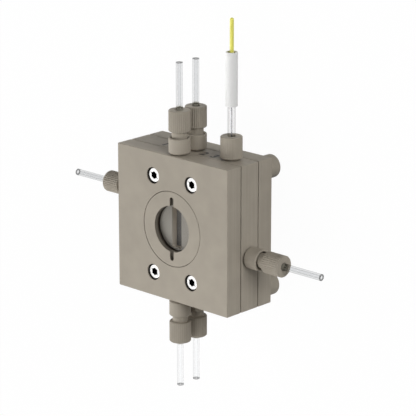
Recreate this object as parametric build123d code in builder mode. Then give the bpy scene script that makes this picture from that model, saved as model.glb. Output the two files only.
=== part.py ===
"""Plate-type photo-electrochemical flow cell with a round window, six line fittings
and a reference electrode. Millimetres. The cell lies on its back on its four thumb knobs:
+Z comes out of the window, +Y runs along the reference electrode, +X to the right of the
window, and the origin is the centre of the window opening in the front face."""

import os

from build123d import *

os.makedirs("parts", exist_ok=True)

# Stack of plates
plate_width = 70.0
plate_height = 70.0
front_thickness = 9.0
middle_thickness = 11.3
back_thickness = 8.9
edge_break = 0.25
gasket_thickness = 0.4
gasket_inset = 0.6

# Fits
snug = 0.03  # round pieces that stay together
running = 0.07  # round pieces that turn or slide in each other
face_gap = 0.05  # flat faces that part when something is unscrewed
hole_clearance = 0.15  # fastener in a plain hole
ring_gap = 0.15  # window ring in its threaded seat, which shows as a seam

# Window
window_radius = 11.0
ring_radius = 18.0
ring_thickness = 2.0
spanner_slot_width = 2.45
spanner_slot_reach = 15.3
spanner_slot_depth = 1.5
glass_radius = 15.0
glass_thickness = 1.0
front_seal_thickness = 0.5
seal_groove_radius = 10.8
seal_groove_width = 1.4
seal_groove_depth = 0.8

# Flow channel behind the window and the electrodes
channel_width = 6.0
channel_height = 19.8
channel_corner = 0.6
working_thickness = 2.0
working_lap = 1.6
chamber_width = 10.0
chamber_height = 24.0
chamber_corner = 2.0
membrane_thickness = 0.2
membrane_lap = 2.0
counter_thickness = 2.0
sheet_fit = 0.1

# Contact pins of the two electrodes, through the back plate, each with a 4 mm terminal outside
contact_radius = 1.5
contact_wall = 1.5
terminal_radius = 2.0
terminal_length = 4.5

# Line fittings: adapter collar, finger-tight nut, ferrule and tube
collar_radius = 5.1
collar_length = 7.4
collar_lift = 0.6
collar_spacing = 0.7
foot_chamfer = 0.6
mouth_chamfer = 0.4
spigot_radius = 3.0
spigot_length = 5.5
adapter_floor = 1.8
nut_thread_radius = 3.97
nut_lift = 3.0
neck_radius = 3.6
neck_depth = 1.0
head_radius = 5.1
head_length = 10.0
head_chamfer = 0.35
ferrule_radius = 3.5
ferrule_length = 2.0
ferrule_nose = 0.9
tube_radius = 1.5875
tube_bore_radius = 0.8
tube_length_outside = 22.2
port_wall = 0.5
flow_bore_radius = 0.8
side_port_offset = 9.2

# Cap screws round the window, M4
screw_spacing_x = 24.0
screw_spacing_y = 47.0
screw_radius = 2.0
screw_head_radius = 3.5
screw_head_height = 4.0
screw_head_sink = 0.85
screw_head_chamfer = 0.4
screw_socket_width = 3.0
screw_socket_depth = 2.2
screw_length = 12.0
screw_run_out = 0.65
counterbore_clearance = 0.4

# Thumb knobs at the corners, on M3 studs
knob_inset = 6.5
knob_radius = 5.5
knob_length = 7.3
knob_chamfer = 0.5
stud_radius = 1.5
stud_depth_in_knob = 5.0
stud_depth_in_middle = 7.5
stud_run_out = 1.0

# Reference electrode
reference_wall = 0.4
reference_spigot_length = 3.5
reference_seal_length = 1.4
reference_head_length = 10.5
reference_glass_radius = 1.8
reference_glass_bore_radius = 1.2
reference_sleeve_lift = 25.0
reference_sleeve_radius = 2.82
reference_sleeve_length = 25.1
reference_sleeve_socket = 6.0
reference_sleeve_recess_radius = 2.45
reference_sleeve_recess_depth = 1.2
reference_wire_radius = 0.4
reference_wire_clearance = 0.1
reference_frit_length = 2.5
reference_wire_gap = 2.0
lead_radius = 0.95
lead_length_outside = 15.6
lead_round = 0.8
luggin_radius = 0.6
luggin_wall = 1.0
luggin_gap = 1.2

# Levels through the stack, from the front face down
front_rear_face = -front_thickness
middle_front_face = front_rear_face - gasket_thickness
middle_rear_face = middle_front_face - middle_thickness
back_front_face = middle_rear_face - gasket_thickness
back_rear_face = back_front_face - back_thickness
middle_centre = (middle_front_face + middle_rear_face) / 2
seal_level = -ring_thickness
glass_level = seal_level - front_seal_thickness
window_floor = glass_level - glass_thickness

# Sizes that follow from others
port_radius = spigot_radius + snug
front_port_level = front_rear_face + port_wall + port_radius
rear_port_level = front_port_level - 2 * collar_radius - collar_spacing
working_width = channel_width + 2 * working_lap
working_height = channel_height + 2 * working_lap
membrane_width = chamber_width + 2 * membrane_lap
membrane_height = chamber_height + 2 * membrane_lap
contact_hole_radius = contact_radius + running
contact_x = membrane_width / 2 + contact_wall + contact_hole_radius
tab_reach = contact_x + contact_radius + sheet_fit
tab_width = 2 * (contact_radius + working_lap)
gasket_width = plate_width - 2 * gasket_inset
gasket_height = plate_height - 2 * gasket_inset
screw_hole_radius = screw_radius + hole_clearance
screw_end = -screw_head_sink - screw_head_height - screw_length
knob_x = plate_width / 2 - knob_inset
knob_y = plate_height / 2 - knob_inset
stud_hole_radius = stud_radius + hole_clearance
stud_tapped_radius = stud_radius + running
stud_hole_end = middle_rear_face + stud_depth_in_middle + stud_run_out
stud_inner_end = -back_thickness - gasket_thickness - stud_depth_in_middle
reference_x = knob_x - stud_tapped_radius - reference_wall - port_radius
reference_port_depth = reference_spigot_length + face_gap + reference_seal_length
reference_bore_radius = reference_glass_radius + running
luggin_y = contact_hole_radius + luggin_wall + luggin_radius
reference_tip_y = luggin_y + luggin_radius + luggin_gap
reference_bore_end_y = luggin_y - luggin_radius

collar_top = collar_lift + collar_length
adapter_seat = collar_lift + adapter_floor
ferrule_start = adapter_seat + face_gap
nut_start = ferrule_start + ferrule_length + face_gap
neck_start = collar_top - neck_depth
head_start = collar_top + nut_lift
head_end = head_start + head_length

# Where each line enters, and how far its bore runs in to the channel or the chamber
top = plate_height / 2
right = plate_width / 2
channel_reach = top - channel_height / 2
chamber_reach = top - chamber_height / 2
side_reach = right - chamber_width / 2
lines = {
    "top_front": (Plane((0, top, front_port_level), (1, 0, 0), (0, 1, 0)), channel_reach),
    "top_rear": (Plane((0, top, rear_port_level), (1, 0, 0), (0, 1, 0)), chamber_reach),
    "bottom_front": (Plane((0, -top, front_port_level), (1, 0, 0), (0, -1, 0)), channel_reach),
    "bottom_rear": (Plane((0, -top, rear_port_level), (1, 0, 0), (0, -1, 0)), chamber_reach),
    "left": (Plane((-right, side_port_offset, middle_centre), (0, 1, 0), (-1, 0, 0)), side_reach),
    "right": (Plane((right, -side_port_offset, middle_centre), (0, 1, 0), (1, 0, 0)), side_reach),
}
front_lines = ("top_front", "bottom_front")
reference_plane = Plane((reference_x, top, middle_centre), (1, 0, 0), (0, 1, 0))
luggin_plane = Plane((0, luggin_y, middle_centre), (0, 1, 0), (1, 0, 0))
corners = {
    "top_left": (-knob_x, knob_y),
    "top_right": (knob_x, knob_y),
    "bottom_left": (-knob_x, -knob_y),
    "bottom_right": (knob_x, -knob_y),
}


def round_length(plane, start, end, radius, mode=Mode.ADD):
    """Add or cut a round length between two heights above a plane."""
    with BuildSketch(plane.offset(start)) as disc:
        Circle(radius)
    extrude(disc.sketch, amount=end - start, mode=mode)


def end_circle(plane, piece, end):
    """Pick the smallest circle at the low end (0) or the high end (-1) of a round piece."""
    circles = piece.edges().filter_by(GeomType.CIRCLE)
    levels = circles.group_by(lambda edge: plane.to_local_coords(edge.center()).Z)
    return levels[end].sort_by(SortBy.RADIUS)[0]


def square_sheet(start, end, width, height, mode=Mode.ADD, corner=0.0):
    """Add or cut a rectangular length between two levels of the stack, centred on the window."""
    with BuildSketch(Plane.XY.offset(start)) as sheet:
        if corner:
            RectangleRounded(width, height, corner)
        else:
            Rectangle(width, height)
    extrude(sheet.sketch, amount=end - start, mode=mode)


def cut_chamber(start, end):
    """Cut the outline of the electrolyte chamber between two levels of the stack."""
    square_sheet(start, end, chamber_width, chamber_height, Mode.SUBTRACT, chamber_corner)


def hole_at(x, y, start, end, radius):
    """Cut a round hole along the stack between two levels."""
    round_length(Plane((x, y, 0)), start, end, radius, Mode.SUBTRACT)


def holes_for_studs(start, end, radius):
    """Cut the four holes that the studs of the thumb knobs pass."""
    for x, y in corners.values():
        hole_at(x, y, start, end, radius)


def holes_for_screws(start, end, radius):
    """Cut the four holes that the cap screws pass."""
    with BuildSketch(Plane.XY.offset(start)) as holes:
        with GridLocations(screw_spacing_x, screw_spacing_y, 2, 2):
            Circle(radius)
    extrude(holes.sketch, amount=end - start, mode=Mode.SUBTRACT)


def cut_port(plane, reach):
    """Cut a threaded port and the flow bore behind it."""
    round_length(plane, -spigot_length, 0, port_radius, Mode.SUBTRACT)
    round_length(plane, -reach, 0, flow_bore_radius, Mode.SUBTRACT)


def electrode_outline(fit):
    """Draw the working electrode with its contact tab, a fit larger all round."""
    Rectangle(working_width + 2 * fit, working_height + 2 * fit)
    with Locations((tab_reach / 2, 0)):
        Rectangle(tab_reach + 2 * fit, tab_width + 2 * fit)


# Front plate: seat of the window, flow channel and pocket of the working electrode
with BuildPart() as front_plate:
    square_sheet(front_rear_face, 0, plate_width, plate_height)
    chamfer(front_plate.edges(), length=edge_break)
    round_length(Plane.XY, -ring_thickness, 0, ring_radius + ring_gap, Mode.SUBTRACT)
    round_length(Plane.XY, window_floor, 0, glass_radius + sheet_fit, Mode.SUBTRACT)
    with BuildSketch(Plane.XY.offset(window_floor)) as groove:
        Circle(seal_groove_radius + seal_groove_width)
        Circle(seal_groove_radius, mode=Mode.SUBTRACT)
    extrude(groove.sketch, amount=-seal_groove_depth, mode=Mode.SUBTRACT)
    square_sheet(front_rear_face, window_floor, channel_width, channel_height, Mode.SUBTRACT, channel_corner)
    with BuildSketch(Plane.XY.offset(front_rear_face)) as pocket:
        electrode_outline(sheet_fit)
    extrude(pocket.sketch, amount=working_thickness, mode=Mode.SUBTRACT)
    holes_for_screws(front_rear_face, 0, screw_hole_radius)
    holes_for_screws(-screw_head_sink - screw_head_height, 0, screw_head_radius + counterbore_clearance)
    for name in front_lines:
        cut_port(*lines[name])
front_plate.part.label = "front_plate"
export_step(front_plate.part, "parts/front_plate.step")

# Middle plate: electrolyte chamber, seat of the membrane, four line ports and the reference bore
with BuildPart() as middle_plate:
    square_sheet(middle_rear_face, middle_front_face, plate_width, plate_height)
    chamfer(middle_plate.edges(), length=edge_break)
    cut_chamber(middle_rear_face, middle_front_face)
    square_sheet(
        middle_front_face - membrane_thickness,
        middle_front_face,
        membrane_width + 2 * sheet_fit,
        membrane_height + 2 * sheet_fit,
        Mode.SUBTRACT,
    )
    holes_for_screws(screw_end - screw_run_out, middle_front_face, screw_radius + snug)
    holes_for_studs(middle_rear_face, stud_hole_end, stud_tapped_radius)
    hole_at(contact_x, 0, middle_rear_face, middle_front_face, contact_hole_radius)
    for name, (plane, reach) in lines.items():
        if name not in front_lines:
            cut_port(plane, reach)
    round_length(reference_plane, -reference_port_depth, 0, port_radius, Mode.SUBTRACT)
    round_length(reference_plane, reference_bore_end_y - top, 0, reference_bore_radius, Mode.SUBTRACT)
    round_length(luggin_plane, 0, reference_x, luggin_radius, Mode.SUBTRACT)
middle_plate.part.label = "middle_plate"
export_step(middle_plate.part, "parts/middle_plate.step")

# Back plate: pocket of the counter electrode and the way out for both contact pins
with BuildPart() as back_plate:
    square_sheet(back_rear_face, back_front_face, plate_width, plate_height)
    chamfer(back_plate.edges(), length=edge_break)
    square_sheet(
        back_front_face - counter_thickness,
        back_front_face,
        membrane_width + 2 * sheet_fit,
        membrane_height + 2 * sheet_fit,
        Mode.SUBTRACT,
    )
    hole_at(0, 0, back_rear_face, back_front_face, contact_hole_radius)
    hole_at(contact_x, 0, back_rear_face, back_front_face, contact_hole_radius)
    holes_for_studs(back_rear_face, back_front_face, stud_hole_radius)
back_plate.part.label = "back_plate"
export_step(back_plate.part, "parts/back_plate.step")

# Gaskets: their edges stand back a little, which shows as a dark seam between the plates
with BuildPart() as front_gasket:
    square_sheet(middle_front_face, front_rear_face, gasket_width, gasket_height)
    cut_chamber(middle_front_face, front_rear_face)
    holes_for_screws(middle_front_face, front_rear_face, screw_hole_radius)
    hole_at(contact_x, 0, middle_front_face, front_rear_face, contact_hole_radius)
front_gasket.part.label = "front_gasket"
export_step(front_gasket.part, "parts/front_gasket.step")

with BuildPart() as rear_gasket:
    square_sheet(back_front_face, middle_rear_face, gasket_width, gasket_height)
    cut_chamber(back_front_face, middle_rear_face)
    holes_for_studs(back_front_face, middle_rear_face, stud_hole_radius)
    hole_at(contact_x, 0, back_front_face, middle_rear_face, contact_hole_radius)
rear_gasket.part.label = "rear_gasket"
export_step(rear_gasket.part, "parts/rear_gasket.step")

# Membrane between the channel and the chamber
with BuildPart() as membrane:
    square_sheet(middle_front_face - membrane_thickness, middle_front_face, membrane_width, membrane_height)
membrane.part.label = "membrane"
export_step(membrane.part, "parts/membrane.step")

# Electrodes: a porous strip behind the window channel, and a plate behind the chamber
with BuildPart() as working_electrode:
    with BuildSketch(Plane.XY.offset(front_rear_face)) as strip:
        electrode_outline(0)
    extrude(strip.sketch, amount=working_thickness)
working_electrode.part.label = "working_electrode"
export_step(working_electrode.part, "parts/working_electrode.step")

with BuildPart() as counter_electrode:
    square_sheet(back_front_face - counter_thickness, back_front_face, membrane_width, membrane_height)
counter_electrode.part.label = "counter_electrode"
export_step(counter_electrode.part, "parts/counter_electrode.step")

contacts = {
    "working_contact": (contact_x, front_rear_face),
    "counter_contact": (0, back_front_face - counter_thickness),
}
for name, (x, inner_end) in contacts.items():
    with BuildPart() as contact:
        round_length(Plane((x, 0, 0)), back_rear_face - terminal_length, back_rear_face, terminal_radius)
        chamfer(contact.edges().filter_by(GeomType.CIRCLE).sort_by(Axis.Z)[0], length=edge_break)
        round_length(Plane((x, 0, 0)), back_rear_face, inner_end, contact_radius)
    contact.part.label = name
    export_step(contact.part, f"parts/{name}.step")

# Window: threaded ring with two spanner slots, front seal, glass and rear seal
with BuildPart() as window_ring:
    round_length(Plane.XY, -ring_thickness + face_gap, 0, ring_radius)
    chamfer(window_ring.edges().sort_by(Axis.Z)[-1], length=edge_break)
    round_length(Plane.XY, -ring_thickness, 0, window_radius, Mode.SUBTRACT)
    slot_inner_end = window_radius - spanner_slot_width
    with BuildSketch(Plane.XY) as slots:
        for side in (-1, 1):
            with Locations((0, side * (spanner_slot_reach + slot_inner_end) / 2)):
                SlotOverall(spanner_slot_reach - slot_inner_end, spanner_slot_width, rotation=90)
    extrude(slots.sketch, amount=-spanner_slot_depth, mode=Mode.SUBTRACT)
window_ring.part.label = "window_ring"
export_step(window_ring.part, "parts/window_ring.step")

with BuildPart() as window_front_seal:
    round_length(Plane.XY, glass_level, seal_level, glass_radius)
    round_length(Plane.XY, glass_level, seal_level, window_radius, Mode.SUBTRACT)
window_front_seal.part.label = "window_front_seal"
export_step(window_front_seal.part, "parts/window_front_seal.step")

with BuildPart() as window_glass:
    round_length(Plane.XY, window_floor, glass_level, glass_radius)
window_glass.part.label = "window_glass"
export_step(window_glass.part, "parts/window_glass.step")

with BuildPart() as window_rear_seal:
    with BuildSketch(Plane.XY.offset(window_floor)) as seal:
        Circle(seal_groove_radius + seal_groove_width - sheet_fit)
        Circle(seal_groove_radius + sheet_fit, mode=Mode.SUBTRACT)
    extrude(seal.sketch, amount=-seal_groove_depth)
window_rear_seal.part.label = "window_rear_seal"
export_step(window_rear_seal.part, "parts/window_rear_seal.step")

# Four socket-head cap screws as one group of separate solids
with BuildPart() as cap_screws:
    head_top = -screw_head_sink
    head_bottom = head_top - screw_head_height
    with BuildSketch(Plane.XY.offset(head_bottom)) as heads:
        with GridLocations(screw_spacing_x, screw_spacing_y, 2, 2):
            Circle(screw_head_radius)
    extrude(heads.sketch, amount=screw_head_height)
    chamfer(cap_screws.edges().filter_by(GeomType.CIRCLE).group_by(Axis.Z)[-1], length=screw_head_chamfer)
    with BuildSketch(Plane.XY.offset(head_top)) as sockets:
        with GridLocations(screw_spacing_x, screw_spacing_y, 2, 2):
            RegularPolygon(screw_socket_width / 2, 6, major_radius=False)
    extrude(sockets.sketch, amount=-screw_socket_depth, mode=Mode.SUBTRACT)
    with BuildSketch(Plane.XY.offset(screw_end)) as shanks:
        with GridLocations(screw_spacing_x, screw_spacing_y, 2, 2):
            Circle(screw_radius)
    extrude(shanks.sketch, amount=screw_length)
cap_screws.part.label = "cap_screws"
export_step(cap_screws.part, "parts/cap_screws.step")

# Thumb knobs and their studs
for corner, (x, y) in corners.items():
    back_at_corner = Plane((x, y, back_rear_face), (1, 0, 0), (0, 0, -1))
    with BuildPart() as knob:
        round_length(back_at_corner, face_gap, knob_length, knob_radius)
        chamfer(knob.edges().filter_by(GeomType.CIRCLE), length=knob_chamfer)
        round_length(back_at_corner, face_gap, stud_depth_in_knob, stud_radius + snug, Mode.SUBTRACT)
    knob.part.label = f"knob_{corner}"
    export_step(knob.part, f"parts/knob_{corner}.step")

    with BuildPart() as stud:
        round_length(back_at_corner, stud_inner_end, stud_depth_in_knob, stud_radius)
        chamfer(stud.edges().sort_by(Axis.Z)[-1], length=edge_break)
    stud.part.label = f"stud_{corner}"
    export_step(stud.part, f"parts/stud_{corner}.step")

# Line fittings, each on the plane of its port
for name, (plane, _) in lines.items():
    with BuildPart() as adapter:
        round_length(plane, collar_lift, collar_top, collar_radius)
        chamfer(end_circle(plane, adapter, 0), length=foot_chamfer)
        chamfer(end_circle(plane, adapter, -1), length=head_chamfer)
        round_length(plane, -spigot_length, collar_lift, spigot_radius)
        round_length(plane, adapter_seat, collar_top, nut_thread_radius + running, Mode.SUBTRACT)
        chamfer(end_circle(plane, adapter, -1), length=mouth_chamfer)
        round_length(plane, -spigot_length, adapter_seat, flow_bore_radius, Mode.SUBTRACT)
    adapter.part.label = f"{name}_adapter"
    export_step(adapter.part, f"parts/{name}_adapter.step")

    with BuildPart() as nut:
        round_length(plane, head_start, head_end, head_radius)
        chamfer(nut.edges().filter_by(GeomType.CIRCLE), length=head_chamfer)
        round_length(plane, neck_start, head_start, neck_radius)
        round_length(plane, nut_start, neck_start, nut_thread_radius)
        round_length(plane, nut_start, head_end, tube_radius + running, Mode.SUBTRACT)
    nut.part.label = f"{name}_nut"
    export_step(nut.part, f"parts/{name}_nut.step")

    with BuildPart() as ferrule:
        round_length(plane, ferrule_start, ferrule_start + ferrule_length, ferrule_radius)
        chamfer(end_circle(plane, ferrule, 0), length=ferrule_nose)
        round_length(plane, ferrule_start, ferrule_start + ferrule_length, tube_radius + snug, Mode.SUBTRACT)
    ferrule.part.label = f"{name}_ferrule"
    export_step(ferrule.part, f"parts/{name}_ferrule.step")

    with BuildPart() as tube:
        round_length(plane, ferrule_start, head_end + tube_length_outside, tube_radius)
        round_length(plane, ferrule_start, head_end + tube_length_outside, tube_bore_radius, Mode.SUBTRACT)
    tube.part.label = f"{name}_tube"
    export_step(tube.part, f"parts/{name}_tube.step")

# Reference electrode: nut and seal in the top edge, then the electrode that slides through them
reference_head_end = collar_lift + reference_head_length
spigot_end = -reference_spigot_length
seal_start = -reference_port_depth
seal_end = spigot_end - face_gap
glass_start = reference_tip_y - top
frit_end = glass_start + reference_frit_length
sleeve_start = reference_sleeve_lift
sleeve_end = sleeve_start + reference_sleeve_length
socket_end = sleeve_start + reference_sleeve_socket
recess_floor = sleeve_end - reference_sleeve_recess_depth
wire_hole_radius = reference_wire_radius + reference_wire_clearance
glass_fit_radius = reference_glass_radius + snug

with BuildPart() as reference_nut:
    round_length(reference_plane, collar_lift, reference_head_end, head_radius)
    chamfer(end_circle(reference_plane, reference_nut, 0), length=foot_chamfer)
    chamfer(end_circle(reference_plane, reference_nut, -1), length=head_chamfer)
    round_length(reference_plane, spigot_end, collar_lift, spigot_radius - running)
    round_length(reference_plane, spigot_end, reference_head_end, reference_bore_radius, Mode.SUBTRACT)
reference_nut.part.label = "reference_nut"
export_step(reference_nut.part, "parts/reference_nut.step")

with BuildPart() as reference_seal:
    round_length(reference_plane, seal_start, seal_end, spigot_radius)
    round_length(reference_plane, seal_start, seal_end, glass_fit_radius, Mode.SUBTRACT)
reference_seal.part.label = "reference_seal"
export_step(reference_seal.part, "parts/reference_seal.step")

with BuildPart() as reference_glass:
    round_length(reference_plane, glass_start, socket_end, reference_glass_radius)
    round_length(reference_plane, glass_start, socket_end, reference_glass_bore_radius, Mode.SUBTRACT)
reference_glass.part.label = "reference_glass"
export_step(reference_glass.part, "parts/reference_glass.step")

with BuildPart() as reference_frit:
    round_length(reference_plane, glass_start, frit_end, reference_glass_bore_radius - snug)
reference_frit.part.label = "reference_frit"
export_step(reference_frit.part, "parts/reference_frit.step")

with BuildPart() as reference_wire:
    round_length(reference_plane, frit_end + reference_wire_gap, recess_floor, reference_wire_radius)
reference_wire.part.label = "reference_wire"
export_step(reference_wire.part, "parts/reference_wire.step")

with BuildPart() as reference_sleeve:
    round_length(reference_plane, sleeve_start, sleeve_end, reference_sleeve_radius)
    chamfer(reference_sleeve.edges().filter_by(GeomType.CIRCLE), length=edge_break)
    round_length(reference_plane, sleeve_start, sleeve_end, wire_hole_radius, Mode.SUBTRACT)
    round_length(reference_plane, sleeve_start, socket_end, glass_fit_radius, Mode.SUBTRACT)
    round_length(reference_plane, recess_floor, sleeve_end, reference_sleeve_recess_radius, Mode.SUBTRACT)
reference_sleeve.part.label = "reference_sleeve"
export_step(reference_sleeve.part, "parts/reference_sleeve.step")

with BuildPart() as reference_lead:
    round_length(reference_plane, recess_floor, sleeve_end + lead_length_outside, lead_radius)
    fillet(reference_lead.edges().filter_by(GeomType.CIRCLE).sort_by(Axis.Y)[-1], radius=lead_round)
reference_lead.part.label = "reference_lead"
export_step(reference_lead.part, "parts/reference_lead.step")
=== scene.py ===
"""Looks of a plate-type photo-electrochemical flow cell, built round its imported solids.
Metres, in the frame of the solids: +Z comes out of the window, +Y runs along the reference
electrode and the cell lies on its back on its four thumb knobs."""

import math

import bmesh
import bpy
from bpy.props import FloatProperty, FloatVectorProperty, IntProperty
from mathutils import Matrix, Vector


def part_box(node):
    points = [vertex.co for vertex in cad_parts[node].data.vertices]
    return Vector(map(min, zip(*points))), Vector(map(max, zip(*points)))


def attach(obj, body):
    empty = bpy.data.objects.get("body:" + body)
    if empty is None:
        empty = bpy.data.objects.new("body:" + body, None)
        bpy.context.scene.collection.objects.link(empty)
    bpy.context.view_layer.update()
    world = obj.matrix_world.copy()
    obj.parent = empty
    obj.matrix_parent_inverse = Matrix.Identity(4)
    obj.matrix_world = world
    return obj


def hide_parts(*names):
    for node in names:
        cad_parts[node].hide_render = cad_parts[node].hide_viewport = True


bl_info = {
    "name": "Flow Cell",
    "version": (1, 0, 0),
    "blender": (4, 5, 0),
    "location": "View3D > Sidebar > Flow Cell",
    "description": "Builds the fittings, finishes and stage of an electrochemical flow cell",
    "category": "Object",
}

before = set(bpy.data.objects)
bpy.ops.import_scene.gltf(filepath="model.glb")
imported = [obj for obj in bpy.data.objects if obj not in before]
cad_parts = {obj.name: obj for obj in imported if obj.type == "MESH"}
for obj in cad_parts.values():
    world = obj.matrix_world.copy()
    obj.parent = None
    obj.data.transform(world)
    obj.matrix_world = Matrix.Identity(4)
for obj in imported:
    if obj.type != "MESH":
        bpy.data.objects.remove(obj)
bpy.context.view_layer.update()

MM = 0.001
TURN = 2 * math.pi
SMOOTH_ANGLE = math.radians(28)
STEPS_PER_FLUTE = 3

# Distances within which vertices are joined, or count as lying on a wall
WELD = 1e-7
ON_WALL = 1e-6

# What a noise texture's values mostly lie between
NOISE_RANGE = (0.3, 0.7)

# Shares of a thread's pitch that half its ridge and half its crest take up, and steps in a turn
HALF_RIDGE = 0.42
HALF_CREST = 0.1
THREAD_STEPS = 28

# Outward directions of the six line fittings
LINES = {
    "top_front": (0, 1, 0),
    "top_rear": (0, 1, 0),
    "bottom_front": (0, -1, 0),
    "bottom_rear": (0, -1, 0),
    "left": (-1, 0, 0),
    "right": (1, 0, 0),
}
KNOBS = ("top_left", "top_right", "bottom_left", "bottom_right")


# Sizes and colours that a user would change

class FlowCellSizes(bpy.types.PropertyGroup):
    """Sizes of the details that are modelled over the solids."""

    collar_lift: FloatProperty(
        name="Collar lift", description="Height of a collar's underside above the plate",
        default=0.6 * MM, unit="LENGTH")
    collar_top: FloatProperty(
        name="Collar top", description="Height of a collar's top above the plate",
        default=8.0 * MM, unit="LENGTH")
    head_start: FloatProperty(
        name="Head start", description="Height of a nut head's underside above the plate",
        default=11.0 * MM, unit="LENGTH")
    head_radius: FloatProperty(
        name="Head radius", description="Radius of nut heads and collars",
        default=5.1 * MM, unit="LENGTH")
    thread_radius: FloatProperty(
        name="Thread radius", description="Crest radius of a nut's thread",
        default=3.97 * MM, unit="LENGTH")
    thread_pitch: FloatProperty(
        name="Thread pitch", description="Advance of a nut's thread in one turn",
        default=25.4 / 24 * MM, unit="LENGTH")
    neck_radius: FloatProperty(
        name="Neck radius", description="Radius of the smooth neck under a nut's head",
        default=3.6 * MM, unit="LENGTH")
    bore_radius: FloatProperty(
        name="Nut bore", description="Radius of the hole for the tube in a nut",
        default=1.66 * MM, unit="LENGTH")
    nut_flutes: IntProperty(
        name="Nut flutes", description="Grooves round a nut head", default=32)
    nut_flute_depth: FloatProperty(
        name="Flute depth", description="Depth of the grooves of a nut head",
        default=0.2 * MM, unit="LENGTH")
    knob_flutes: IntProperty(
        name="Knob flutes", description="Fine grooves round a thumb knob", default=60)
    knob_flute_depth: FloatProperty(
        name="Knob flute depth", description="Depth of the grooves of a thumb knob",
        default=0.08 * MM, unit="LENGTH")
    number_height: FloatProperty(
        name="Number height", description="Height of the port numbers",
        default=6.6 * MM, unit="LENGTH")


class FlowCellColours(bpy.types.PropertyGroup):
    """Colours of the cell's finishes."""

    peek: FloatVectorProperty(
        name="Body plastic", description="Colour of plates, nuts, collars and knobs",
        subtype="COLOR", size=3, default=(0.39, 0.35, 0.29))
    seal: FloatVectorProperty(
        name="Seal", description="Colour of gaskets and seals",
        subtype="COLOR", size=3, default=(0.020, 0.017, 0.013))
    steel: FloatVectorProperty(
        name="Screws", description="Colour of the cap screws and studs",
        subtype="COLOR", size=3, default=(0.40, 0.397, 0.39))
    tube: FloatVectorProperty(
        name="Tube", description="Tint of the clear line tubes",
        subtype="COLOR", size=3, default=(0.84, 0.845, 0.85))
    lead: FloatVectorProperty(
        name="Lead", description="Colour of the reference electrode's lead",
        subtype="COLOR", size=3, default=(0.86, 0.82, 0.15))
    sleeve: FloatVectorProperty(
        name="Sleeve", description="Colour of the reference electrode's sleeve",
        subtype="COLOR", size=3, default=(0.84, 0.84, 0.83))


def sizes():
    return bpy.context.scene.flow_cell_sizes


def colours():
    return bpy.context.scene.flow_cell_colours


# Shader maths

class Value:
    """A node's output socket on which Python's operators add Math nodes."""

    def __init__(self, tree, socket):
        self.tree = tree
        self.socket = socket

    def maths(self, operation, *others, flip=False):
        node = self.tree.nodes.new("ShaderNodeMath")
        node.operation = operation
        operands = list(others) + [self] if flip else [self, *others]
        for slot, operand in zip(node.inputs, operands):
            if isinstance(operand, Value):
                self.tree.links.new(operand.socket, slot)
            else:
                slot.default_value = operand
        return Value(self.tree, node.outputs[0])

    def __add__(self, other):
        return self.maths("ADD", other)

    def __mul__(self, other):
        return self.maths("MULTIPLY", other)

    def __rsub__(self, other):
        return self.maths("SUBTRACT", other, flip=True)


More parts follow.
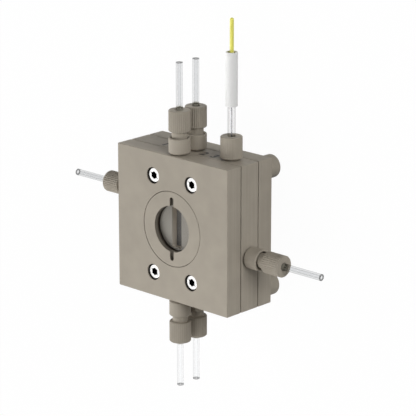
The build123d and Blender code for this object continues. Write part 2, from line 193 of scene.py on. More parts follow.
class Finish:
    """One material, and the calls that add its nodes."""

    def __init__(self, name, **sockets):
        self.material = bpy.data.materials.new(name)
        self.material.use_nodes = True
        self.tree = self.material.node_tree
        self.shader = self.tree.nodes["Principled BSDF"]
        for socket, value in sockets.items():
            self.set(socket.replace("_", " "), value)

    def set(self, socket, value):
        """Set or link one socket of the main shader."""
        self.feed(self.shader.inputs[socket], value)

    def feed(self, slot, value):
        if isinstance(value, Value):
            self.tree.links.new(value.socket, slot)
        elif hasattr(value, "__len__") and slot.type == "RGBA":
            slot.default_value = (*value, 1.0)
        else:
            slot.default_value = value

    def node(self, kind, settings=None, inputs=None, output=0):
        """Add a node, set it, feed its inputs and return one of its outputs."""
        made = self.tree.nodes.new(kind)
        for key, value in (settings or {}).items():
            setattr(made, key, value)
        for key, value in (inputs or {}).items():
            self.feed(made.inputs[key], value)
        return Value(self.tree, made.outputs[output])

    def place(self, centre=(0, 0, 0), stretch=(1, 1, 1)):
        """Object coordinates in millimetres, from a centre."""
        scale = tuple(k / MM for k in stretch)
        shift = tuple(-c * k for c, k in zip(centre, scale))
        found = self.node("ShaderNodeTexCoord", output=3)
        return self.node("ShaderNodeMapping", inputs={
            "Vector": found, "Location": shift, "Scale": scale})

    def folded(self):
        """Object coordinates in millimetres, mirrored to the positive side of each axis."""
        return self.node("ShaderNodeVectorMath", {"operation": "ABSOLUTE"}, {0: self.place()})

    def noise(self, place, scale, detail=3.0, rough=0.5):
        return self.node("ShaderNodeTexNoise", inputs={
            "Vector": place, "Scale": scale, "Detail": detail, "Roughness": rough})

    def mix(self, factor, first, second):
        """Blend two colours."""
        inputs = {0: factor, 6: first, 7: second}
        return self.node("ShaderNodeMix", {"data_type": "RGBA"}, inputs, 2)

    def shades(self, factor, base, low, high):
        """Blend two shades of a colour, given by their brightness."""
        return self.mix(factor, shade(base, low), shade(base, high))

    def fit(self, value, low, high, new_low, new_high):
        """Map a range of values onto another, and clamp it."""
        return self.node("ShaderNodeMapRange", None, {
            "Value": value, "From Min": low, "From Max": high,
            "To Min": new_low, "To Max": new_high})

    def rise(self, value, start, end):
        """0 up to the start, 1 from the end on, and a ramp between them."""
        return self.fit(value, start, end, 0.0, 1.0)

    def spread(self, noise, low, high):
        """Map what a noise mostly covers onto a range."""
        return self.fit(noise, *NOISE_RANGE, low, high)

    def bump(self, height, depth, strength, normal=None):
        inputs = {"Height": height, "Distance": depth, "Strength": strength}
        if normal is not None:
            inputs["Normal"] = normal
        return self.node("ShaderNodeBump", None, inputs)

    def split(self, place):
        """The three parts of a vector."""
        node = self.tree.nodes.new("ShaderNodeSeparateXYZ")
        self.feed(node.inputs[0], place)
        return [Value(self.tree, part) for part in node.outputs]

    def along(self, place, axis):
        """Distances along and out from one of the three axes."""
        parts = self.split(place)
        along = parts.pop("XYZ".index(axis))
        out = (parts[0] * parts[0] + parts[1] * parts[1]).maths("SQRT")
        return along, out

    def from_corner(self, x, y):
        """Depth below the front face and distance from the nearest of four corners' axes."""
        inputs = {0: self.folded(), 1: (x, y, 0)}
        moved = self.node("ShaderNodeVectorMath", {"operation": "SUBTRACT"}, inputs)
        return self.along(moved, "Z")

    def cover(self, factor, other, under=False):
        """Blend another shader over or under the main one."""
        main = Value(self.tree, self.shader.outputs[0])
        first, second = (other, main) if under else (main, other)
        mixed = self.node("ShaderNodeMixShader", None, {0: factor, 1: first, 2: second})
        self.feed(self.tree.nodes["Material Output"].inputs["Surface"], mixed)


def background_rays(tree):
    """1 for the rays that show the background: camera, glossy and transmission rays."""
    path = tree.nodes.new("ShaderNodeLightPath")
    kinds = ("Camera", "Glossy", "Transmission")
    camera, glossy, transmission = (Value(tree, path.outputs[f"Is {kind} Ray"]) for kind in kinds)
    return camera.maths("MAXIMUM", glossy).maths("MAXIMUM", transmission)


def shade(base, factor):
    return tuple(min(1.0, c * factor) for c in base)


def shade_painted_below(depth):
    """Mark for body_plastic: painted shade, dark below a depth in millimetres under the front face.
    """
    # Brightness of the painted shade
    brightness = 0.45

    def mark(finish):
        height = finish.split(finish.place())[2]
        return finish.rise(height, -depth, -3 * depth), brightness
    return mark


def shade_painted_in_grooves(axis, centre, radius, depth, brightness=0.9):
    """Mark for body_plastic: a painted brightness in the grooves of a head, painted shade by
    default, whose radius and depth of groove are in millimetres."""
    # The grooves' painted brightness follows from the radius and the groove depth
    crest = 0.02
    inner, floor = radius - 1.6 * depth, radius - 1.2 * depth

    def mark(finish):
        out = finish.along(finish.place(centre), axis)[1]
        below_crest = finish.rise(out, radius - crest, radius - depth)
        outside_core = finish.rise(out, inner, floor)
        return below_crest * outside_core, brightness
    return mark


def body_plastic(name, axis=None, centre=(0, 0, 0), marks=()):
    """Satin beige plastic with cloudy tone, fine grain, paler edges and the marks of the cutter,
    which run round an axis if one is given. The paler edges are a painted highlight along every
    edge, with some wear. Each of the marks is a function that gives, for a finish, a factor and
    the brightness it brings; the marks used here paint shade and light."""
    edge_radius, edge_highlight_and_wear_share, edge_highlight_and_wear_brightness = 0.25 * MM, 0.35, 1.22
    cut_depth, grain_depth = 0.004 * MM, 0.012 * MM
    radians_per_mm = 21.0
    base = tuple(colours().peek)
    finish = Finish(name, Specular_IOR_Level=0.1)
    place = finish.place(centre)
    cloud = finish.noise(place, 0.11, 2.0)
    grain = finish.noise(place, 6.0, 4.0, 0.6)
    bands = finish.noise(finish.place(centre, (0.01, 0.01, 1.0)), 1.3, 4.0, 0.6)
    tone = finish.rise(cloud * 0.3 + grain * 0.2 + bands * 0.5, 0.38, 0.62)
    bevel_normal = finish.node("ShaderNodeBevel", {"samples": 4}, {"Radius": edge_radius})
    inputs = {0: bevel_normal, 1: finish.node("ShaderNodeNewGeometry", output=1)}
    # Painted highlight along the edges, with some wear: paler where the bevel's normal turns away
    edge = finish.node("ShaderNodeVectorMath", {"operation": "DOT_PRODUCT"}, inputs, 1)
    edge = finish.fit(edge, 0.99, 0.8, 0.0, edge_highlight_and_wear_share)
    colour = finish.shades(tone, base, 0.92, 1.07)
    colour = finish.mix(edge, colour, shade(base, edge_highlight_and_wear_brightness))
    # Painted shade and painted light from the marks
    for mark in marks:
        factor, brightness = mark(finish)
        colour = finish.mix(factor, colour, shade(base, brightness))
    finish.set("Base Color", colour)
    finish.set("Roughness", finish.spread(grain, 0.40, 0.52))
    if axis:
        along, out = finish.along(place, axis)
        cuts = ((along + out) * radians_per_mm + cloud * 2.0).maths("SINE")
        normal = finish.bump(cuts, cut_depth, 0.35, bevel_normal)
    else:
        cuts = finish.noise(finish.place(centre, (0.06, 1.0, 1.0)), 9.0, 2.0)
        normal = finish.bump(cuts, grain_depth, 0.3, bevel_normal)
    finish.set("Normal", finish.bump(grain, grain_depth, 0.5, normal))
    return finish.material


def seal_rubber(name, base):
    """Dull rubber with a fine grain."""
    finish = Finish(name, Base_Color=base)
    grain = finish.noise(finish.place(), 9.0)
    finish.set("Roughness", finish.spread(grain, 0.5, 0.75))
    finish.set("Normal", finish.bump(grain, 0.01 * MM, 0.5))
    return finish.material


def screw_steel(name, centre=(0, 0, 0), sockets=None):
    """Bright steel with marks turned round Z, and painted shade in a group's four hexagon sockets:
    dull grey on their walls and dark on their floors. The sockets are given, in millimetres, as the
    group's two half spacings, the depths of the head tops and of the sockets' floors, and the
    sockets' radius."""
    socket_wall_shade, socket_floor_shade = (0.30, 0.29, 0.27), (0.02, 0.018, 0.016)
    base = tuple(colours().steel)
    finish = Finish(name)
    place = finish.place(centre)
    along, out = finish.along(place, "Z")
    patch = finish.noise(place, 0.8)
    colour = finish.shades(patch, base, 0.93, 1.06)
    rough = finish.spread(patch, 0.2, 0.34)
    metallic = 1.0
    if sockets:
        x, y, top, floor, radius = sockets
        # Painted shade in the sockets: duller grey and not metallic on the walls, black on the
        # floors
        deep, reach = finish.from_corner(x, y)
        below_top = finish.rise(deep, top + 0.02, top + 0.1)
        inside = below_top * finish.rise(reach, radius + 0.2, radius + 0.1)
        at_floor = finish.rise(deep, floor - 0.3, floor - 0.1)
        colour = finish.mix(inside, colour, finish.mix(at_floor, socket_wall_shade, socket_floor_shade))
        rough = rough + inside * 0.4
        metallic = 1.0 - inside
    finish.set("Base Color", colour)
    finish.set("Roughness", rough)
    finish.set("Metallic", metallic)
    cuts = ((along + out) * 40.0).maths("SINE")
    finish.set("Normal", finish.bump(cuts, 0.003 * MM, 0.3))
    return finish.material


def clear_solid(name, base, ior):
    """Clear material with faint clouding. Gives its finish and clouded colour."""
    finish = Finish(name, Roughness=0.0, IOR=ior, Transmission_Weight=1.0)
    haze = finish.noise(finish.place(), 0.3)
    colour = finish.shades(haze, base, 0.98, 1.02)
    finish.set("Base Color", colour)
    return finish, colour


def clear_round(name, base, rim, span=None):
    """Clear tube, greyer towards its edges as painted shade; the edges are given as where they
    start to show, where they show in full and their brightness. If the distances of a nut's outer
    face and of the tube's tip from the window's axis are given, in millimetres, it has painted
    shade where it leaves the nut, a darker tint under a dull dark sheet, and painted shade at its
    cut end."""
    nut_shade_tint, nut_shade_sheet_colour = (0.55, 0.53, 0.47), (0.28, 0.27, 0.23)
    cut_end_shade = (0.12, 0.12, 0.12)
    finish, colour = clear_solid(name, base, 1.06)
    start, full, brightness = rim
    # Painted shade: greyer where the tube is seen edge-on
    facing = finish.node("ShaderNodeLayerWeight", None, {"Blend": 0.5}, "Facing")
    colour = finish.mix(finish.rise(facing, start, full), colour, shade(base, brightness))
    if span:
        nut_face, tip = span
        x, y, _ = finish.split(finish.folded())
        reach = x.maths("MAXIMUM", y)
        # Painted shade where the tube leaves the nut
        near_nut = finish.fit(reach, nut_face + 1.0, nut_face + 2.0, 1.0, 0.0)
        colour = finish.mix(near_nut, colour, nut_shade_tint)
        # Painted shade at the cut end
        colour = finish.mix(finish.rise(reach, tip - 0.3, tip - 0.2), colour, cut_end_shade)
        # A dull dark sheet over the tube, as painted shade where it leaves the nut
        nut_shade_sheet = finish.node("ShaderNodeBsdfDiffuse", None, {"Color": nut_shade_sheet_colour})
        finish.cover(finish.fit(reach, nut_face + 0.5, nut_face + 1.5, 0.92, 0.0), nut_shade_sheet)
    finish.set("Base Color", colour)
    return finish.material


def window_pane():
    """The window's glass, which lets the light in to the channel behind it."""
    tint = (0.93, 0.94, 0.955)
    finish, _ = clear_solid("window_glass_clear", tint, 1.05)
    finish.set("Coat Weight", 0.4)
    finish.set("Coat Roughness", 0.0)
    camera = finish.node("ShaderNodeLightPath", output="Is Camera Ray")
    open_way = finish.node("ShaderNodeBsdfTransparent", None, {"Color": tint})
    finish.cover(camera, open_way, under=True)
    return finish.material


def plain_plastic(name, base, rough):
    """Plain plastic or paint with faint clouding and a fine grain."""
    finish = Finish(name)
    place = finish.place()
    cloud = finish.noise(place, 0.4)
    grain = finish.noise(place, 7.0)
    finish.set("Base Color", finish.shades(cloud, base, 0.96, 1.04))
    finish.set("Roughness", finish.spread(grain, rough - 0.06, rough + 0.06))
    finish.set("Normal", finish.bump(grain, 0.008 * MM, 0.4))
    return finish.material


def potted_sleeve(centre, top):
    """White sleeve with dark potting round the lead in its open end, grading to grey painted shade
    on the recess towards the rim. The open end's height along Y is given in millimetres."""
    inner_colour, recess_shade_colour = (0.16, 0.11, 0.07), (0.43, 0.42, 0.39)
    base = tuple(colours().sleeve)
    finish = Finish("sleeve_white")
    place = finish.place(centre)
    along, out = finish.along(place, "Y")
    cloud = finish.noise(place, 0.4)
    grain = finish.noise(place, 7.0)
    # Dark potting round the lead, grading to grey painted shade on the recess towards the rim
    potting = finish.mix(finish.rise(out, 1.2, 2.3), inner_colour, recess_shade_colour)
    level = finish.rise(along, top - 1.4, top - 1.3) * finish.rise(along, top - 0.5, top - 1.1)
    inside = level * finish.rise(out, 2.6, 2.5)
    white = finish.shades(cloud, base, 0.98, 1.02)
    finish.set("Base Color", finish.mix(inside, white, potting))
    finish.set("Roughness", finish.spread(grain, 0.32, 0.44))
    finish.set("Normal", finish.bump(grain, 0.008 * MM, 0.4))
    return finish.material


def porous_strip():
    """Dark porous electrode strip behind the channel."""
    pore_colour, raised_colour = (0.085, 0.078, 0.068), (0.17, 0.156, 0.136)
    finish = Finish("electrode_strip")
    pores = finish.noise(finish.place(), 5.0, 5.0, 0.65)
    finish.set("Base Color", finish.mix(pores, pore_colour, raised_colour))
    finish.set("Roughness", finish.spread(pores, 0.55, 0.85))
    finish.set("Normal", finish.bump(pores, 0.05 * MM, 0.6))
    return finish.material


def metal(name, base, rough):
    """Satin metal with faint patches."""
    finish = Finish(name, Metallic=1.0)
    patch = finish.noise(finish.place(), 3.0)
    finish.set("Base Color", finish.shades(patch, base, 0.92, 1.05))
    finish.set("Roughness", finish.spread(patch, rough - 0.05, rough + 0.08))
    finish.set("Normal", finish.bump(patch, 0.006 * MM, 0.3))
    return finish.material


def dress(node, material):
    """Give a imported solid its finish."""
    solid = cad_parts[node]
    solid.data.materials.clear()
    solid.data.materials.append(material)


# Modelling

def turned(outline, steps):
    """Turn an outline of (radius, height) points about Z. One that starts off the axis is closed
    first."""
    shape = bmesh.new()
    points = [shape.verts.new((radius, 0, height)) for radius, height in outline]
    edges = [shape.edges.new(pair) for pair in zip(points, points[1:])]
    if outline[0][0] > 0:
        edges.append(shape.edges.new((points[-1], points[0])))
    bmesh.ops.spin(shape, geom=points + edges, cent=(0, 0, 0), axis=(0, 0, 1), angle=TURN,
                   steps=steps, use_merge=True)
    bmesh.ops.remove_doubles(shape, verts=shape.verts, dist=WELD)
    return shape


def lathe(outline, steps):
    """Turn an outline that gives a closed shape."""
    shape = turned(outline, steps)
    bmesh.ops.recalc_face_normals(shape, faces=shape.faces)
    return shape


def hollow_rod(inner, outer, low, high, steps):
    """A round tube along Z between two heights."""
    return lathe([(inner, low), (outer, low), (outer, high), (inner, high)], steps)


def flute(shape, count, depth, radius, low, high):
    """Press straight grooves into the round wall between two heights."""
    line_width = 0.1
    grooves = []
    for point in shape.verts:
        reach = math.hypot(point.co.x, point.co.y)
        share = (math.atan2(point.co.y, point.co.x) / TURN * count) % 1.0
        on_line = min(share, 1 - share) < line_width
        on_wall = abs(reach - radius) < ON_WALL
        if on_line and on_wall and low - ON_WALL < point.co.z < high + ON_WALL:
            grooves.append(point)
    factor = (radius - depth) / radius
    bmesh.ops.scale(shape, vec=(factor, factor, 1), verts=grooves)


def wind_thread(shape, crest, root, start, end, pitch):
    """Add a helical ridge that sinks a little into the neck that it winds round."""
    half, land = pitch * HALF_RIDGE, pitch * HALF_CREST
    turns = (end - start - 2 * half) / pitch
    outline = [(root, start), (crest, start + half - land), (crest, start + half + land),
               (root, start + 2 * half)]
    points = [shape.verts.new((radius, 0, height)) for radius, height in outline]
    edges = [shape.edges.new((points[i], points[i - 1])) for i in range(len(points))]
    total = max(1, round(THREAD_STEPS * turns))
    made = bmesh.ops.spin(shape, geom=points + edges, cent=(0, 0, 0), axis=(0, 0, 1),
                          dvec=(0, 0, turns * pitch / total), angle=TURN * turns, steps=total,
                          use_merge=False)
    shape.faces.new(points)
    shape.faces.new([v for v in made["geom_last"] if isinstance(v, bmesh.types.BMVert)])


def finish_piece(name, shape, place, body, material, replaced=()):
    """Make a bmesh a piece of the object that rides on its body."""
    bmesh.ops.recalc_face_normals(shape, faces=shape.faces)
    bmesh.ops.transform(shape, matrix=place, verts=shape.verts)
    mesh = bpy.data.meshes.new(name)
    shape.to_mesh(mesh)
    shape.free()
    mesh.shade_smooth()
    mesh.set_sharp_from_angle(angle=SMOOTH_ANGLE)
    mesh.materials.append(material)
    piece = bpy.data.objects.new(name, mesh)
    bpy.context.scene.collection.objects.link(piece)
    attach(piece, body)
    if replaced:
        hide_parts(*replaced)


def outward_place(direction, origin):
    """Matrix that stands +Z of a turned piece along a direction at an origin."""
    turn = Vector(direction).to_track_quat("Z", "Y").to_matrix().to_4x4()
    return Matrix.Translation(origin) @ turn


def port_origin(node, direction):
    """The point where a fitting's axis meets the plate's face."""
    low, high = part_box(node)
    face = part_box("middle_plate")[1].x
    out = Vector(direction)
    middle = (low + high) / 2
    return middle - out * middle.dot(out) + out * face


def axis_name(direction):
    return "XYZ"[max(range(3), key=lambda i: abs(direction[i]))]


class FLOWCELL_OT_stage(bpy.types.Operator):
    """Set up the pale floor, the soft studio light and the camera"""

    bl_idname = "flowcell.stage"
    bl_label = "Stage"

    camera_spot = (684.976 * MM, 308.166 * MM, 705.233 * MM)
    camera_right = (0.729118, 0.0, -0.684388)
    camera_up = (-0.198486, 0.957021, -0.211458)
    camera_back = (0.654974, 0.290019, 0.697781)
    camera_lens = 192.974
    sensor_width = 36.0
    clip = (0.05, 20.0)

    ambient = 0.02
    # Each sun's direction, strength and width in degrees
    suns = {
        "key": ((-0.20, -0.50, 0.84), 2.0, 60),
        "fill": ((0.85, 0.50, 0.17), 1.93, 40),
        "side": ((-0.90, 0.10, 0.40), 1.79, 60),
    }
    floor_bounce = 0.45
    floor_white = 0.95
    floor_glow = 0.97
    floor_size = 6.0

    def execute(self, context):
        self.floor(context)
        self.world(context)
        self.lamps(context)
        self.camera(context)
        context.scene.view_settings.view_transform = "Standard"
        return {"FINISHED"}

    def floor(self, context):
        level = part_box("knob_top_right")[0].z
        shape = bmesh.new()
        bmesh.ops.create_grid(shape, x_segments=1, y_segments=1, size=self.floor_size / 2)
        bmesh.ops.translate(shape, vec=(0, 0, level), verts=shape.verts)
        mesh = bpy.data.meshes.new("floor")
        shape.to_mesh(mesh)
        shape.free()
        finish = Finish("floor_white", Roughness=0.9, Specular_IOR_Level=0.1)
        seen = background_rays(finish.tree)
        finish.set("Base Color", seen * (self.floor_white - self.floor_bounce) + self.floor_bounce)
        glow = finish.node("ShaderNodeEmission", None, {"Color": (1, 1, 1), "Strength": 1.0})
        finish.cover(seen * self.floor_glow, glow)
        mesh.materials.append(finish.material)
        floor = bpy.data.objects.new("floor", mesh)
        context.scene.collection.objects.link(floor)

    def world(self, context):
        world = bpy.data.worlds.new("studio")
        world.use_nodes = True
        context.scene.world = world
        tree = world.node_tree
        strength = background_rays(tree) * (1.0 - self.ambient) + self.ambient
        background = tree.nodes["Background"]
        background.inputs["Color"].default_value = (1, 1, 1, 1)
        tree.links.new(strength.socket, background.inputs["Strength"])

    def lamps(self, context):
        for name, (direction, strength, width) in self.suns.items():
            lamp = bpy.data.lights.new(name, "SUN")
            lamp.energy = strength
            lamp.angle = math.radians(width)
            sun = bpy.data.objects.new(name, lamp)
            sun.rotation_mode = "QUATERNION"
            sun.rotation_quaternion = Vector(direction).to_track_quat("Z", "Y")
            context.scene.collection.objects.link(sun)

    def camera(self, context):
        lens = bpy.data.cameras.new("camera")
        lens.lens = self.camera_lens
        lens.sensor_width = self.sensor_width
        lens.clip_start, lens.clip_end = self.clip
        camera = bpy.data.objects.new("camera", lens)
        turn = Matrix((self.camera_right, self.camera_up, self.camera_back)).transposed().to_4x4()
        camera.matrix_world = Matrix.Translation(self.camera_spot) @ turn
        context.scene.collection.objects.link(camera)
        context.scene.camera = camera


class FLOWCELL_OT_plates(bpy.types.Operator):
    """Finish the three plates and the gaskets between them"""

    bl_idname = "flowcell.plates"
    bl_label = "Plates and gaskets"

    screw_head_radius = 3.5 * MM
    counterbore_radius = 3.9 * MM
    # Painted shade on the counterbores' walls
    counterbore_shade_brightness = 0.15
    channel_half = (3.2 * MM, 10.0 * MM)
    channel_top = 3.6 * MM
    # Painted light on the channel's walls
    channel_light_brightness = 1.9
    membrane_colour = (0.62, 0.55, 0.38)

    def shaded_counterbores(self, finish):
        """Mark for body_plastic: painted shade, dark round the walls of the four counterbores."""
        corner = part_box("cap_screws")[1]
        deep, reach = finish.from_corner((corner.x - self.screw_head_radius) / MM,
                                         (corner.y - self.screw_head_radius) / MM)
        radius = self.counterbore_radius / MM
        below_mouth = finish.rise(deep, 0.25, 0.4)
        round_bore = finish.rise(reach, radius + 0.4, radius + 0.2)
        return below_mouth * round_bore, self.counterbore_shade_brightness

    def lit_channel(self, finish):
        """Mark for body_plastic: painted light, pale on the walls of the channel behind the window.
        """
        x, y, z = finish.split(finish.place())
        half_x, half_y = (half / MM for half in self.channel_half)
        beside = x.maths("ABSOLUTE").maths("LESS_THAN", half_x)
        inside = beside * y.maths("ABSOLUTE").maths("LESS_THAN", half_y)
        return inside * z.maths("LESS_THAN", -self.channel_top / MM), self.channel_light_brightness

    def execute(self, context):
        # Painted shade in the counterbores and painted light in the channel
        marks = (self.shaded_counterbores, self.lit_channel)
        dress("front_plate", body_plastic("front_plate_plastic", marks=marks))
        plastic = body_plastic("plate_plastic")
        for node in ("middle_plate", "back_plate"):
            dress(node, plastic)
        rubber = seal_rubber("seal_rubber_black", tuple(colours().seal))
        for node in ("front_gasket", "rear_gasket", "reference_seal"):
            dress(node, rubber)
        dress("membrane", plain_plastic("membrane_cream", self.membrane_colour, 0.6))
        return {"FINISHED"}


class FLOWCELL_OT_window(bpy.types.Operator):
    """Model the window's glass and finish its ring, its seals and the electrodes behind it"""

    bl_idname = "flowcell.window"
    bl_label = "Window"

    shade_depth_mm = 0.1
    seal_colour = (0.060, 0.046, 0.031)
    pane_gap = 0.03 * MM
    pane_steps = 128
    counter_colour = (0.55, 0.55, 0.54)

    def execute(self, context):
        # Painted shade on the ring below its front face: in its slots and on its bore and outer
        # wall
        marks = (shade_painted_below(self.shade_depth_mm),)
        dress("window_ring", body_plastic("ring_plastic", "Z", marks=marks))
        rubber = seal_rubber("window_seal_rubber", self.seal_colour)
        dress("window_front_seal", rubber)
        dress("window_rear_seal", rubber)
        low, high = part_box("window_glass")
        under, over = low.z + self.pane_gap, high.z - self.pane_gap
        pane = lathe([(0, under), (high.x, under), (high.x, over), (0, over)], self.pane_steps)
        finish_piece("window_glass_pane", pane, Matrix(), "cell", window_pane(),
                     ("window_glass",))
        dress("working_electrode", porous_strip())
        dress("counter_electrode", metal("counter_metal", self.counter_colour, 0.3))
        return {"FINISHED"}


class FLOWCELL_OT_contacts(bpy.types.Operator):
    """Finish the two contact pins with their terminals on the back"""

    bl_idname = "flowcell.contacts"
    bl_label = "Contacts"

    brass_colour = (0.78, 0.60, 0.30)

    def execute(self, context):
        brass = metal("contact_brass_satin", self.brass_colour, 0.25)
        dress("working_contact", brass)
        dress("counter_contact", brass)
        return {"FINISHED"}


class FLOWCELL_OT_cap_screws(bpy.types.Operator):
    """Model the four socket-head cap screws"""

    bl_idname = "flowcell.cap_screws"
    bl_label = "Cap screws"

    head_radius = 3.5 * MM
    head_height = 4.0 * MM
    head_round = 0.4 * MM
    round_steps = 4
    top_land = 0.1 * MM
    shank_radius = 2.0 * MM
    shank_chamfer = 0.3 * MM
    socket_radius = 3.3 * MM / math.sqrt(3)
    socket_depth = 2.0 * MM
    drill_point = 0.5 * MM
    sides = 6
    cuts = 7

    def screw(self, tip):
        """One screw along Z with its head's top face at zero."""
        edge, rounded = self.shank_chamfer, self.head_round
        outline = [(0, tip), (self.shank_radius - edge, tip), (self.shank_radius, tip + edge),
                   (self.shank_radius, -self.head_height), (self.head_radius, -self.head_height)]
        for k in range(self.round_steps + 1):
            angle = k * TURN / 4 / self.round_steps
            outline.append((self.head_radius - rounded + rounded * math.cos(angle),
                            rounded * (math.sin(angle) - 1)))
        outline.append((self.head_radius - rounded - self.top_land, 0))
        shape = turned(outline, self.sides * (self.cuts + 1))
        rim = [e for e in shape.edges if e.is_boundary]
        socket = bmesh.ops.create_circle(
            shape, cap_ends=False, segments=self.sides, radius=self.socket_radius)
        ring = list({e for v in socket["verts"] for e in v.link_edges})
        bmesh.ops.subdivide_edges(shape, edges=ring, cuts=self.cuts)
        hexagon = [e for e in shape.edges if not e.link_faces]
        bmesh.ops.bridge_loops(shape, edges=rim + hexagon)
        wall = bmesh.ops.extrude_edge_only(shape, edges=hexagon)
        lower = [v for v in wall["geom"] if isinstance(v, bmesh.types.BMVert)]
        bmesh.ops.translate(shape, vec=(0, 0, -self.socket_depth), verts=lower)
        floor = [e for e in shape.edges if e.is_boundary]
        point = bmesh.ops.extrude_edge_only(shape, edges=floor)
        inner = [v for v in point["geom"] if isinstance(v, bmesh.types.BMVert)]
        bmesh.ops.translate(shape, vec=(0, 0, -self.drill_point), verts=inner)
        bmesh.ops.scale(shape, vec=(0, 0, 1), verts=inner)
        bmesh.ops.remove_doubles(shape, verts=inner, dist=WELD)
        return shape

    def execute(self, context):
        low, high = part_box("cap_screws")
        half = high - Vector((self.head_radius, self.head_radius, 0))
        steel = screw_steel("cap_screw_steel", sockets=(
            half.x / MM, half.y / MM, -high.z / MM, (self.socket_depth - high.z) / MM,
            self.socket_radius / MM))
        joined = bmesh.new()
        for x in (-half.x, half.x):
            for y in (-half.y, half.y):
                one = self.screw(low.z - high.z)
                bmesh.ops.translate(one, vec=(x, y, high.z), verts=one.verts)
                mesh = bpy.data.meshes.new("screw")
                one.to_mesh(mesh)
                one.free()
                joined.from_mesh(mesh)
                bpy.data.meshes.remove(mesh)
        finish_piece("cap_screws_socket_head", joined, Matrix(), "cell", steel,
                     ("cap_screws",))
        return {"FINISHED"}


class FLOWCELL_OT_knobs(bpy.types.Operator):
    """Model the four thumb knobs on their studs"""

    bl_idname = "flowcell.knobs"
    bl_label = "Thumb knobs"

    stud_hole = 1.53 * MM
    hole_depth = 5.0 * MM
    edge_round = 0.5 * MM
    round_share = 0.3
    end_dish = 0.25 * MM
    # Shares of the radius at which the end's dish starts and is at its full depth
    dish_shares = (0.62, 0.58)

    def execute(self, context):
        s = sizes()
        for corner in KNOBS:
            node = f"knob_{corner}"
            low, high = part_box(node)
            middle = (low + high) / 2
            radius, length = (high.x - low.x) / 2, high.z - low.z
            edge, shoulder = self.edge_round, self.edge_round * self.round_share
            dish_start, dish_foot = (radius * share for share in self.dish_shares)
            outline = [(0, self.hole_depth), (self.stud_hole, self.hole_depth), (self.stud_hole, 0),
                       (radius - edge, 0), (radius - shoulder, shoulder), (radius, edge),
                       (radius, length - edge), (radius - shoulder, length - shoulder),
                       (radius - edge, length), (dish_start, length),
                       (dish_foot, length - self.end_dish), (0, length - self.end_dish)]
            shape = lathe(outline, s.knob_flutes * STEPS_PER_FLUTE)
            flute(shape, s.knob_flutes, s.knob_flute_depth, radius, edge, length - edge)
            place = outward_place((0, 0, -1), (middle.x, middle.y, high.z))
            plastic = body_plastic(f"{node}_plastic", "Z", (middle.x, middle.y, 0))
            finish_piece(f"{node}_fluted", shape, place, node, plastic, (node,))
            dress(f"stud_{corner}", screw_steel(f"stud_{corner}_steel", (middle.x, middle.y, 0)))
        return {"FINISHED"}


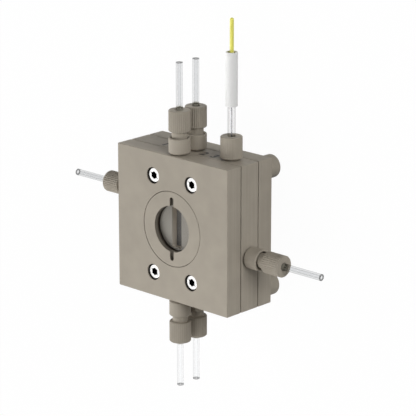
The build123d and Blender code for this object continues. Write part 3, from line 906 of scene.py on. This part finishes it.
class FLOWCELL_OT_fittings(bpy.types.Operator):
    """Model the six line fittings: collar, threaded nut, ferrule and clear tube"""

    bl_idname = "flowcell.fittings"
    bl_label = "Line fittings"

    head_chamfer = 0.35 * MM
    foot_chamfer = 0.6 * MM
    mouth_chamfer = 0.4 * MM
    thread_depth = 0.55 * MM
    thread_sink = 0.05 * MM
    spigot_radius = 3.0 * MM
    thread_hole = 4.04 * MM
    seat_height = 2.4 * MM
    neck_start = 7.0 * MM
    flow_bore = 0.8 * MM
    collar_steps = 96
    tube_radius = 1.5875 * MM
    tube_steps = 64
    # Painted shade at the tubes' edges: where it starts, where it is full, and its brightness
    tube_edge_shade = (0.2, 0.6, 0.77)
    # Painted light: the bottom tubes get a paler copy of the tube finish
    bottom_tube_light = 1.17
    ferrule_colour = (0.74, 0.74, 0.72)

    def collar(self, low):
        """The collar on its spigot, with the hole that takes the nut's thread."""
        s = sizes()
        edge, foot, mouth = self.head_chamfer, self.foot_chamfer, self.mouth_chamfer
        radius, hole = s.head_radius, self.thread_hole
        outline = [(self.flow_bore, low), (self.spigot_radius - edge, low),
                   (self.spigot_radius, low + edge), (self.spigot_radius, s.collar_lift),
                   (radius - foot, s.collar_lift), (radius, s.collar_lift + foot),
                   (radius, s.collar_top - edge), (radius - edge, s.collar_top),
                   (hole + mouth, s.collar_top), (hole, s.collar_top - mouth),
                   (hole, self.seat_height), (self.flow_bore, self.seat_height)]
        return lathe(outline, self.collar_steps)

    def nut(self, low, high):
        """A fluted head on a smooth neck, with a thread below it."""
        s = sizes()
        edge, radius, core = self.head_chamfer, s.head_radius, s.thread_radius - self.thread_depth
        outline = [(s.bore_radius, low), (core - edge, low), (core, low + edge),
                   (core, self.neck_start - edge), (s.neck_radius, self.neck_start),
                   (s.neck_radius, s.head_start), (radius - edge, s.head_start),
                   (radius, s.head_start + edge), (radius, high - edge), (radius - edge, high),
                   (s.bore_radius + edge, high), (s.bore_radius, high - edge)]
        shape = lathe(outline, s.nut_flutes * STEPS_PER_FLUTE)
        flute(shape, s.nut_flutes, s.nut_flute_depth, radius, s.head_start + edge, high - edge)
        wind_thread(shape, s.thread_radius, core - self.thread_sink, low + edge,
                    self.neck_start - edge, s.thread_pitch)
        return shape

    def execute(self, context):
        s = sizes()
        span = (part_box("top_front_nut")[1].y / MM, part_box("top_front_tube")[1].y / MM)
        tint = tuple(colours().tube)
        tube = clear_round("line_tube_clear", tint, self.tube_edge_shade, span)
        # Painted light: a paler copy of the tube finish for the bottom tubes
        lit_tint = shade(tint, self.bottom_tube_light)
        pale = clear_round("bottom_tube_lit_clear", lit_tint, self.tube_edge_shade, span)
        ferrule = plain_plastic("ferrule_white", self.ferrule_colour, 0.4)
        for name, direction in LINES.items():
            origin = port_origin(f"{name}_tube", direction)
            place = outward_place(direction, origin)
            back = place.inverted()
            spans = {}
            for node in (f"{name}_adapter", f"{name}_nut", f"{name}_tube"):
                heights = [(back @ corner).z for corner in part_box(node)]
                spans[node] = (min(heights), max(heights))
            axis = axis_name(direction)
            # Painted shade in the grooves of the nut heads
            grooves = shade_painted_in_grooves(axis, origin, s.head_radius / MM, s.nut_flute_depth / MM)
            plastic = body_plastic(f"{name}_fitting_plastic", axis, origin, (grooves,))
            shape = self.collar(spans[f"{name}_adapter"][0])
            finish_piece(f"{name}_collar", shape, place, "cell", plastic,
                         (f"{name}_adapter",))
            shape = self.nut(*spans[f"{name}_nut"])
            finish_piece(f"{name}_nut_fluted", shape, place, f"nut_{name}", plastic,
                         (f"{name}_nut",))
            shape = hollow_rod(self.flow_bore, self.tube_radius, *spans[f"{name}_tube"],
                               self.tube_steps)
            # pale is the paler, painted-light copy for the bottom tubes
            clear = pale if direction[1] < 0 else tube
            finish_piece(f"{name}_tube_clear", shape, place, f"line_{name}", clear,
                         (f"{name}_tube",))
            dress(f"{name}_ferrule", ferrule)
        return {"FINISHED"}


class FLOWCELL_OT_reference(bpy.types.Operator):
    """Model the reference electrode's nut and finish its glass, wire, sleeve and lead"""

    bl_idname = "flowcell.reference"
    bl_label = "Reference electrode"

    flutes = 28
    flute_depth = 0.12 * MM
    head_chamfer = 0.35 * MM
    foot_chamfer = 0.6 * MM
    bore_radius = 1.87 * MM
    spigot_radius = 2.93 * MM
    glass_radius = 1.8 * MM
    glass_bore = 1.2 * MM
    glass_steps = 64
    glass_tint = (0.985, 0.985, 0.985)
    # Painted shade at the glass's edges: where it starts, where it is full, and its brightness
    glass_edge_shade = (0.3, 0.55, 0.5)
    # Painted light: the reference nut's grooves a little paler
    painted_groove_brightness = 1.05
    frit_colour = (0.8, 0.8, 0.78)
    wire_colour = (0.32, 0.32, 0.33)

    def execute(self, context):
        s = sizes()
        origin = port_origin("reference_nut", (0, 1, 0))
        place = outward_place((0, 1, 0), origin)
        low, high = sorted((place.inverted() @ corner).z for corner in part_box("reference_nut"))
        edge, foot, radius = self.head_chamfer, self.foot_chamfer, s.head_radius
        outline = [(self.bore_radius, low), (self.spigot_radius - edge, low),
                   (self.spigot_radius, low + edge), (self.spigot_radius, s.collar_lift),
                   (radius - foot, s.collar_lift), (radius, s.collar_lift + foot),
                   (radius, high - edge), (radius - edge, high),
                   (self.bore_radius + edge, high), (self.bore_radius, high - edge)]
        shape = lathe(outline, self.flutes * STEPS_PER_FLUTE)
        flute(shape, self.flutes, self.flute_depth, radius, s.collar_lift + foot, high - edge)
        grooves = shade_painted_in_grooves("Y", origin, radius / MM, self.flute_depth / MM,
                             self.painted_groove_brightness)
        plastic = body_plastic("reference_nut_plastic", "Y", origin, (grooves,))
        finish_piece("reference_nut_fluted", shape, place, "reference_nut", plastic,
                     ("reference_nut",))
        glass = clear_round("reference_glass_clear", self.glass_tint, self.glass_edge_shade)
        low, high = sorted((place.inverted() @ corner).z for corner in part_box("reference_glass"))
        shape = hollow_rod(self.glass_bore, self.glass_radius, low, high, self.glass_steps)
        finish_piece("reference_glass_clear", shape, place, "reference_electrode", glass,
                     ("reference_glass",))
        dress("reference_frit", plain_plastic("frit_white", self.frit_colour, 0.8))
        dress("reference_wire", metal("silver_wire", self.wire_colour, 0.25))
        sleeve_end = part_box("reference_sleeve")[1].y
        dress("reference_sleeve", potted_sleeve((origin.x, 0, origin.z), sleeve_end / MM))
        dress("reference_lead", plain_plastic("lead_yellow", tuple(colours().lead), 0.35))
        return {"FINISHED"}


class FLOWCELL_OT_numbers(bpy.types.Operator):
    """Mark the top edge with plain port numbers"""

    bl_idname = "flowcell.numbers"
    bl_label = "Port numbers"

    # Each number's place along X, and the height along Z of the row
    spots = {"1": -16.6 * MM, "2": 8.0 * MM, "3": 14.6 * MM}
    row = -13.4 * MM
    raise_by = 0.03 * MM
    bolder = 0.3 * MM
    ink_colour = (0.035, 0.03, 0.025)

    def execute(self, context):
        ink = plain_plastic("number_ink", self.ink_colour, 0.6)
        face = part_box("middle_plate")[1].y
        upright = Matrix.Rotation(-TURN / 4, 4, "X")
        for number, x in self.spots.items():
            text = bpy.data.curves.new(f"number_{number}", "FONT")
            text.body = number
            text.size = sizes().number_height
            text.align_x = "CENTER"
            text.align_y = "CENTER"
            text.extrude = self.raise_by
            text.offset = self.bolder
            lettering = bpy.data.objects.new("lettering", text)
            context.scene.collection.objects.link(lettering)
            context.view_layer.update()
            mesh = bpy.data.meshes.new_from_object(lettering)
            bpy.data.objects.remove(lettering)
            bpy.data.curves.remove(text)
            mesh.name = f"port_number_{number}"
            mesh.transform(Matrix.Translation((x, face, self.row)) @ upright)
            mesh.materials.clear()
            mesh.materials.append(ink)
            piece = bpy.data.objects.new(f"port_number_{number}", mesh)
            context.scene.collection.objects.link(piece)
            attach(piece, "cell")
        return {"FINISHED"}


class FLOWCELL_PT_panel(bpy.types.Panel):
    """Lists what the flow cell is made with"""

    bl_label = "Flow Cell"
    bl_idname = "FLOWCELL_PT_panel"
    bl_space_type = "VIEW_3D"
    bl_region_type = "UI"
    bl_category = "Flow Cell"

    def draw(self, context):
        for made in OPERATORS:
            self.layout.operator(made.bl_idname)
        for group in (context.scene.flow_cell_sizes, context.scene.flow_cell_colours):
            for name in type(group).__annotations__:
                self.layout.prop(group, name)


OPERATORS = (
    FLOWCELL_OT_stage,
    FLOWCELL_OT_plates,
    FLOWCELL_OT_window,
    FLOWCELL_OT_contacts,
    FLOWCELL_OT_cap_screws,
    FLOWCELL_OT_knobs,
    FLOWCELL_OT_fittings,
    FLOWCELL_OT_reference,
    FLOWCELL_OT_numbers,
)
CLASSES = (FlowCellSizes, FlowCellColours, *OPERATORS, FLOWCELL_PT_panel)


def register():
    for cls in CLASSES:
        bpy.utils.register_class(cls)
    bpy.types.Scene.flow_cell_sizes = bpy.props.PointerProperty(type=FlowCellSizes)
    bpy.types.Scene.flow_cell_colours = bpy.props.PointerProperty(type=FlowCellColours)


def unregister():
    del bpy.types.Scene.flow_cell_colours
    del bpy.types.Scene.flow_cell_sizes
    for cls in reversed(CLASSES):
        bpy.utils.unregister_class(cls)


def main():
    register()
    for made in OPERATORS:
        getattr(bpy.ops.flowcell, made.bl_idname.split(".")[1])()
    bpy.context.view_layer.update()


if __name__ == "__main__":
    main()
